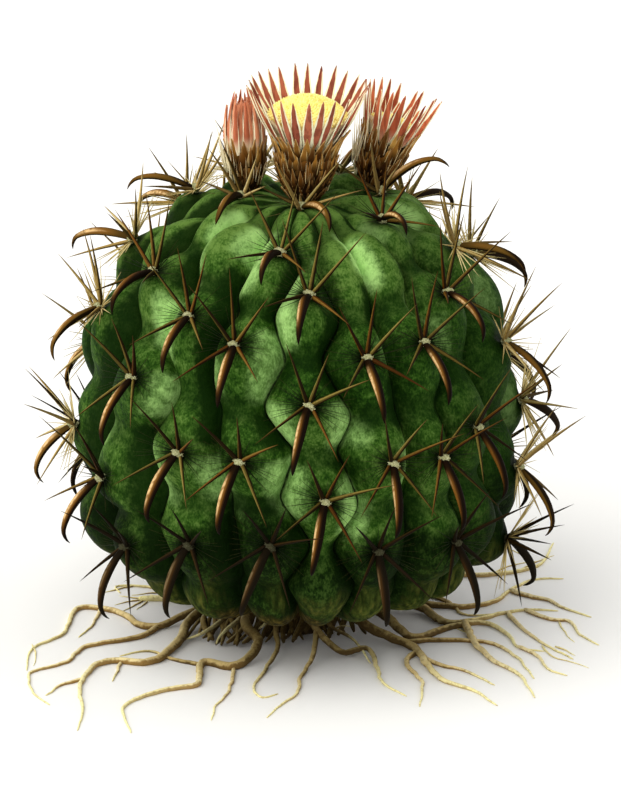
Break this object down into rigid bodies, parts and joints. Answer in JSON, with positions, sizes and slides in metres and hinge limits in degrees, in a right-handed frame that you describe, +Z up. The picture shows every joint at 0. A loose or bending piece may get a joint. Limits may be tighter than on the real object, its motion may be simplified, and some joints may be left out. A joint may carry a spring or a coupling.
{
  "type": "barrel cactus in flower with bare roots",
  "caption": "Squat ribbed barrel cactus with hooked and straight spines, flowers on its crown and a spreading bare root system that it stands on.",
  "frame": {"origin": "middle of the flat underside of the root crown, on the floor below the stem's axis", "axes": "+Z up along the stem's axis, the plant's front faces -Y, +X to the right of the front view"},
  "size_m": [0.2614, 0.3041, 0.2617],
  "materials": {
    "stem_skin": "waxy, satin",
    "spines": "horny, satin",
    "wool": "matte",
    "root_bark": "rough",
    "flower_scales": "papery, matte",
    "tepals": "satin",
    "stamens": "matte"
  },
  "bodies": {
    "root": {"stem": "stem_skin", "root_system": "root_bark", "flower_centre_tube": "flower_scales", "flower_centre_tepals": "tepals", "flower_centre_stamens": "stamens", "flower_right_tube": "flower_scales", "flower_right_tepals": "tepals", "flower_right_stamens": "stamens", "flower_left_tube": "flower_scales", "flower_left_tepals": "tepals"}
  },
  "joints": []
}
